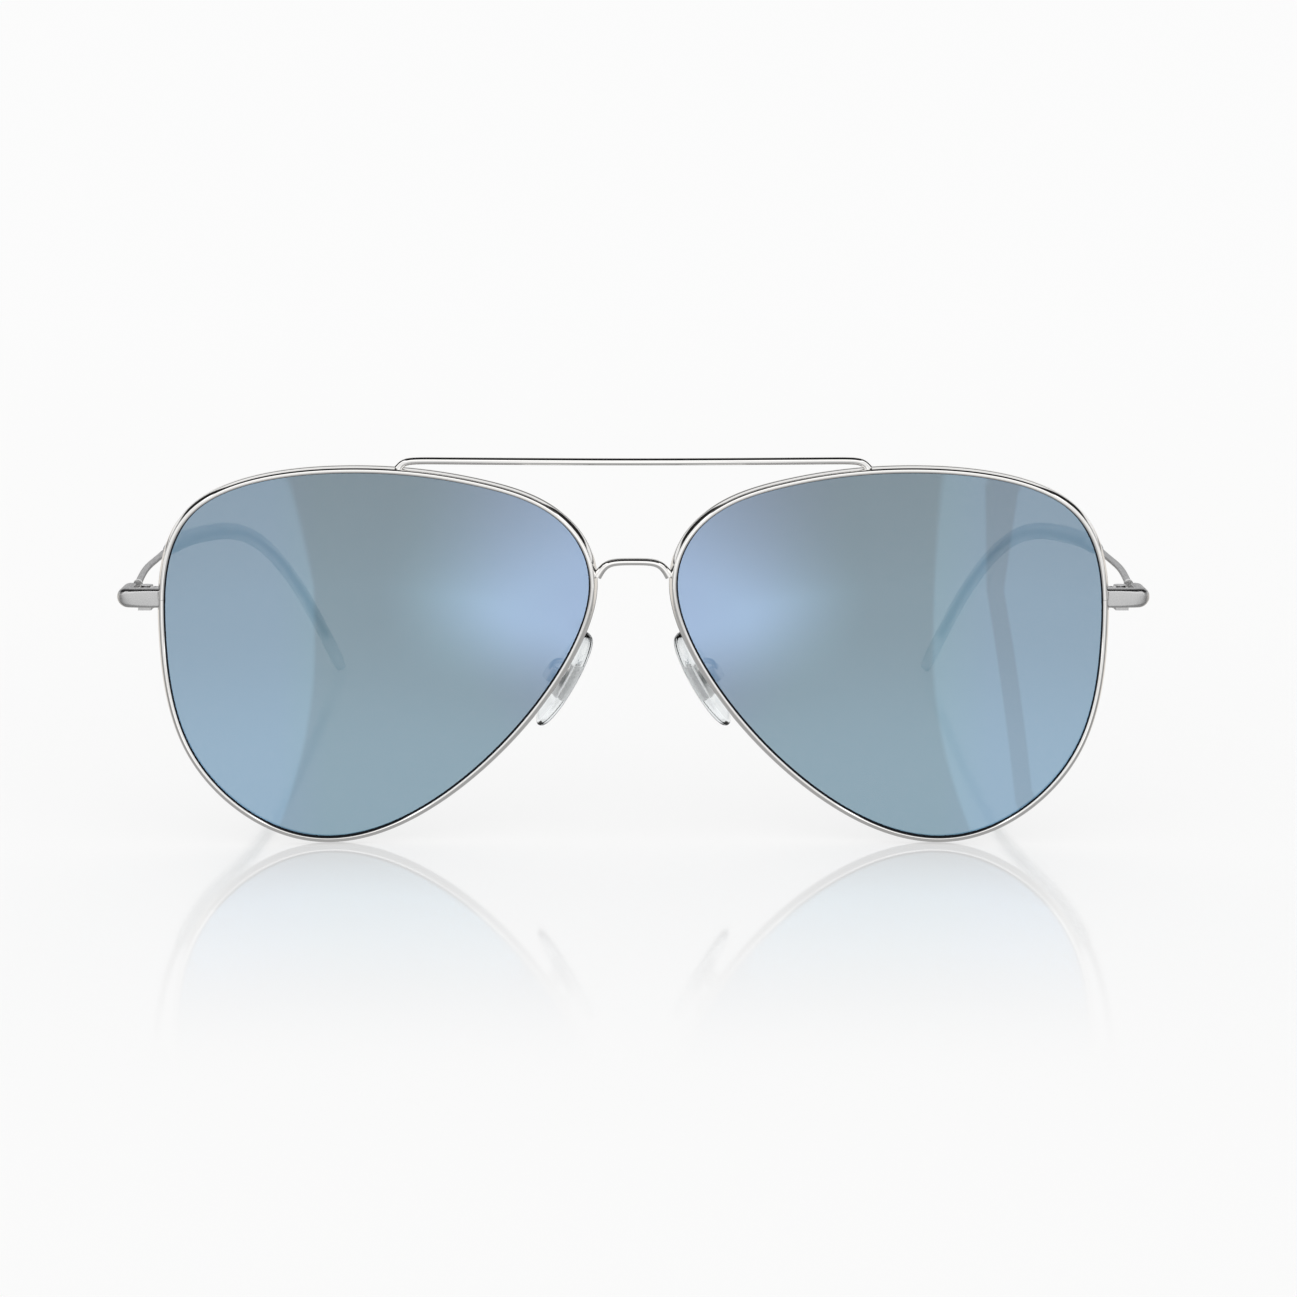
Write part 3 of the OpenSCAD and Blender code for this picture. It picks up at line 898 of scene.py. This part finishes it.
def studio_glow(nodes, links, x, rise):
    """Light of the studio in front: a bright middle, a step at its edges and a lamp on each side."""
    wide = off_centre(nodes, links, x, GLOW_MIDDLE)
    light = spread(nodes, links, rise, *SLOW_STRETCH, *SLOW_LIGHT)
    light = calc(nodes, links, "ADD", light, eased(nodes, links, rise, *FAST_STRETCH, 0.0, FAST_LIGHT))
    light = calc(nodes, links, "ADD", light, bright_middle(nodes, links, x, wide, rise))
    lamp = eased(nodes, links, wide, *LAMP_START, 0.0, LAMP_LIGHT)
    lamp = calc(nodes, links, "MULTIPLY", lamp, eased(nodes, links, wide, *LAMP_END, 1.0, 0.0))
    lamp = calc(nodes, links, "MULTIPLY", lamp, eased(nodes, links, rise, *LAMP_TOP, 1.0, 0.0))
    return calc(nodes, links, "MULTIPLY", calc(nodes, links, "ADD", light, lamp), GLOW_LEVEL)


def gleams(nodes, links):
    """One for rays that a surface mirrors, and less for those inside a clear piece."""
    path = nodes.new("ShaderNodeLightPath")
    inside = calc(nodes, links, "MINIMUM", path.outputs["Transmission Depth"], 1.0)
    share = calc(nodes, links, "MULTIPLY_ADD", inside, -CLEAR_LOSS, 1.0)
    return calc(nodes, links, "MULTIPLY", path.outputs["Is Glossy Ray"], share)


def stage_plane(name, corners, material):
    """Flat piece of the studio, with its corners in metres."""
    mesh = bpy.data.meshes.new(name)
    mesh.from_pydata(corners, [], [(0, 1, 2, 3)])
    mesh.materials.append(material)
    plane = bpy.data.objects.new(name, mesh)
    bpy.context.scene.collection.objects.link(plane)
    return plane


def polished_floor(nodes, links, plain, away):
    """Floor with a gleam round the object, only where it is seen at a low angle."""
    gloss = nodes.new("ShaderNodeBsdfGlossy")
    gloss.inputs["Color"].default_value = (0.99, 0.99, 0.99, 1)
    gloss.inputs["Roughness"].default_value = 0.06
    slant = nodes.new("ShaderNodeLayerWeight")
    near = eased(nodes, links, away, 0.0, SHINE_REACH, FLOOR_SHINE, 0.0)
    low = eased(nodes, links, slant.outputs["Facing"], *SHINE_ANGLE)
    return mixed(nodes, links, calc(nodes, links, "MULTIPLY", low, near), plain, gloss)


def mirrored_floor(nodes, links, x, y):
    """What the metal and the lenses mirror of the floor: a lit studio in front, greys elsewhere."""
    rise = calc(nodes, links, "SUBTRACT", calc(nodes, links, "MULTIPLY", y, -1.0), CARD_AT)
    front = nodes.new("ShaderNodeEmission")
    links.new(studio_glow(nodes, links, x, rise), front.inputs["Strength"])
    wide = calc(nodes, links, "ABSOLUTE", x)
    turn = calc(nodes, links, "DIVIDE", calc(nodes, links, "ARCTAN2", wide, y), math.pi)
    colour = nodes.new("ShaderNodeMix")
    colour.data_type = "RGBA"
    reach = distance(nodes, links, x, y)
    links.new(eased(nodes, links, reach, *FLOOR_AROUND_FROM), colour.inputs["Factor"])
    colour.inputs["A"].default_value = (FLOOR_GREY, FLOOR_GREY, FLOOR_GREY, 1)
    links.new(ramp(nodes, links, turn, FLOOR_AROUND), colour.inputs["B"])
    back = nodes.new("ShaderNodeEmission")
    links.new(colour.outputs["Result"], back.inputs["Color"])
    return mixed(nodes, links, eased(nodes, links, y, *FLOOR_FRONT_TO), front, back)


def floor_material():
    """White floor, faintly polished round the object, that meets the white of the studio far off."""
    material, nodes, links, shader = new_material("pale_floor")
    shader.inputs["Base Color"].default_value = (*FLOOR_WHITE, 1)
    shader.inputs["Roughness"].default_value = 0.9
    shader.inputs["Specular IOR Level"].default_value = 0.0
    x, y, _ = front_place(nodes, links)
    # Distance from the box round the object
    low, high = cad_bounds
    middle_y = (low.y + high.y) / 2 / MM - FRONT_Y
    from_x = past(nodes, links, calc(nodes, links, "ABSOLUTE", x), high.x / MM)
    from_y = past(nodes, links, off_centre(nodes, links, y, middle_y), high.y / MM)
    away = distance(nodes, links, from_x, from_y)
    near = polished_floor(nodes, links, shader, away)
    far = nodes.new("ShaderNodeEmission")
    far.inputs["Strength"].default_value = STUDIO_WHITE
    share = eased(nodes, links, away, *STUDIO_FROM, STUDIO_SHARE, 1.0)
    floor = mixed(nodes, links, share, near, far)
    seen = mixed(nodes, links, gleams(nodes, links), floor, mirrored_floor(nodes, links, x, y))
    links.new(seen.outputs[0], nodes["Material Output"].inputs["Surface"])
    return material


def pale_floor():
    half = FLOOR_HALF * MM
    corners = [(-half, -half, 0), (half, -half, 0), (half, half, 0), (-half, half, 0)]
    stage_plane("floor", corners, floor_material())


def reflection_card():
    """Studio in front of the lenses, which only mirrors can see."""
    material, nodes, links, _ = new_material("reflection_card")
    x, _, z = front_place(nodes, links)
    light = nodes.new("ShaderNodeEmission")
    links.new(studio_glow(nodes, links, x, z), light.inputs["Strength"])
    links.new(light.outputs[0], nodes["Material Output"].inputs["Surface"])
    y = (FRONT_Y - CARD_AT) * MM
    half = CARD_HALF * MM
    top = CARD_H * MM
    corners = [(-half, y, 0), (half, y, 0), (half, y, top), (-half, y, top)]
    card = stage_plane("reflection_card", corners, material)
    card.visible_camera = False
    card.visible_diffuse = False
    card.visible_transmission = False
    card.visible_shadow = False


def studio_world():
    """White studio, in which mirrors also see a dark ceiling between two bright bands."""
    world = bpy.data.worlds.new("studio")
    bpy.context.scene.world = world
    world.use_nodes = True
    nodes, links = world.node_tree.nodes, world.node_tree.links
    nodes.clear()
    plain = nodes.new("ShaderNodeBackground")
    plain.inputs["Color"].default_value = (1, 1, 1, 1)
    plain.inputs["Strength"].default_value = STUDIO_WHITE
    seen = nodes.new("ShaderNodeBackground")
    seen.inputs["Strength"].default_value = CEILING_LEVEL
    place = nodes.new("ShaderNodeTexCoord")
    split = nodes.new("ShaderNodeSeparateXYZ")
    links.new(place.outputs["Generated"], split.inputs[0])
    ahead = calc(nodes, links, "MULTIPLY", split.outputs["Y"], -1.0)
    turn = calc(nodes, links, "ARCTAN2", split.outputs["Z"], ahead)
    turn = calc(nodes, links, "DIVIDE", turn, math.pi)
    # To the sides the dark ceiling reaches further back
    sideways = calc(nodes, links, "ABSOLUTE", split.outputs["X"])
    shift = eased(nodes, links, sideways, *CEILING_SIDES, 0.0, CEILING_SHIFT)
    turn = calc(nodes, links, "SUBTRACT", turn, shift)
    stops = [(angle / 180, level / CEILING_LEVEL) for angle, level in CEILING]
    links.new(ramp(nodes, links, turn, stops), seen.inputs["Color"])
    out = nodes.new("ShaderNodeOutputWorld")
    mix = mixed(nodes, links, gleams(nodes, links), plain, seen)
    links.new(mix.outputs[0], out.inputs["Surface"])


def camera():
    """In front and a little above, aimed at the middle of the front."""
    aim = Vector((0, FRONT_Y, CAMERA_AIM)) * MM
    place = Vector((0, FRONT_Y - CAMERA_BACK, CAMERA_HEIGHT)) * MM
    data = bpy.data.cameras.new("camera")
    data.lens = CAMERA_LENS
    data.sensor_width = 36
    data.shift_x = CAMERA_SHIFT
    data.clip_start = 0.01
    data.clip_end = 20
    eye = bpy.data.objects.new("camera", data)
    eye.location = place
    eye.rotation_mode = "QUATERNION"
    eye.rotation_quaternion = (aim - place).to_track_quat("-Z", "Y")
    bpy.context.scene.collection.objects.link(eye)
    bpy.context.scene.camera = eye


pale_floor()
reflection_card()
studio_world()
camera()
bpy.context.scene.view_settings.view_transform = "Standard"
